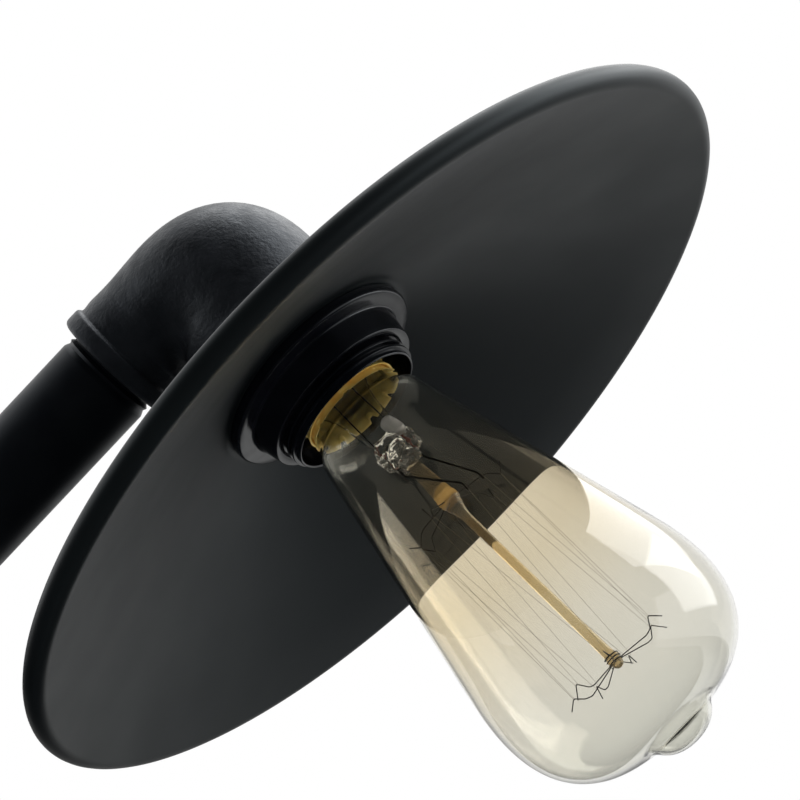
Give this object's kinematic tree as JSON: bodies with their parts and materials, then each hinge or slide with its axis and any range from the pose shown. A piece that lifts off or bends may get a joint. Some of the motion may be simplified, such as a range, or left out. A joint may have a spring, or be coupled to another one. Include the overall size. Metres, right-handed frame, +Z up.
{
  "type": "table lamp",
  "caption": "Black pipe table lamp: weighted round foot with toggle switch, pipe stem and arm, reducing elbow with a wide shallow shade and a long filament bulb.",
  "frame": {"origin": "on the table, under the middle of the round foot and on the stem's axis", "axes": "+Z up the stem, +X towards the shade, Y across the lamp"},
  "size_m": [0.3143, 0.2232, 0.4233],
  "materials": {
    "pad_rubber": "matte black rubber sheet",
    "plate_steel": "zinc-plated steel",
    "cast_black": "satin black paint over a slightly pebbled casting",
    "bolt_black": "black oxide steel",
    "switch_plastic": "moulded black plastic",
    "switch_nickel": "bright nickel plate",
    "gland_plastic": "moulded black nylon",
    "brass": "bright stamped brass",
    "wire_pvc": "smooth insulation",
    "pipe_black": "satin black paint on drawn pipe",
    "flex_pvc": "smooth black sheath",
    "holder_black": "glossy black moulding",
    "insert_ceramic": "unglazed white porcelain",
    "shade_black": "satin black paint on spun steel",
    "cap_vitrite": "black glass insulator",
    "cap_solder": "tinned solder",
    "bulb_amber": "clear glass with a light amber tint",
    "mount_glass": "clear glass",
    "rod_amber": "amber glass rod",
    "hook_wire": "dark drawn wire",
    "filament_wire": "fine carbonised filament"
  },
  "bodies": {
    "stand": {"base_pad": "pad_rubber", "base_cover": "plate_steel", "cover_screws": "plate_steel", "base_casting": "cast_black", "floor_flange": "cast_black", "flange_bolts": "bolt_black", "flange_nuts": "plate_steel", "switch_body": "switch_plastic", "switch_bush": "switch_nickel", "switch_nut": "switch_nickel", "cord_gland": "gland_plastic", "gland_nut": "gland_plastic", "terminal_block": "switch_plastic", "terminal_sleeves": "brass", "terminal_screws": "plate_steel", "block_screw": "plate_steel", "foot_wires": "wire_pvc", "stem_pipe": "pipe_black", "stem_flex": "flex_pvc"},
    "lever": {"switch_lever": "switch_nickel"},
    "arm": {"bend_elbow": "cast_black", "arm_pipe": "pipe_black", "arm_flex": "flex_pvc"},
    "head": {"head_elbow": "cast_black", "head_flex": "flex_pvc", "holder_body": "holder_black", "holder_insert": "insert_ceramic", "holder_screws": "plate_steel", "holder_leads": "wire_pvc", "screw_shell": "brass", "centre_contact": "brass", "shade": "shade_black", "shade_ring": "holder_black"},
    "bulb": {"bulb_cap": "brass", "cap_insulator": "cap_vitrite", "cap_contact": "cap_solder", "bulb_glass": "bulb_amber", "bulb_stem": "mount_glass", "glass_rod": "rod_amber", "upper_hooks": "hook_wire", "lower_hooks": "hook_wire", "filament": "filament_wire", "lead_wires": "hook_wire"}
  },
  "joints": [
    {"name": "arm_swing", "type": "hinge", "parent": "stand", "child": "arm", "pos_m": [0, 0, 0.274], "axis": [0, 0, 1], "range_deg": [-170, 170]},
    {"name": "head_turn", "type": "hinge", "parent": "arm", "child": "head", "pos_m": [0.09263, 0, 0.39163], "axis": [0.7071, 0, 0.7071], "range_deg": [-120, 120]},
    {"name": "switch_toggle", "type": "hinge", "parent": "stand", "child": "lever", "pos_m": [0.05725, 0, 0.0265], "axis": [0, -1, 0], "range_deg": [0, 28]},
    {"name": "bulb_turn", "type": "hinge", "parent": "head", "child": "bulb", "pos_m": [0.09263, 0, 0.39163], "axis": [0.7071, 0, -0.7071], "range_deg": [0, 360]}
  ]
}
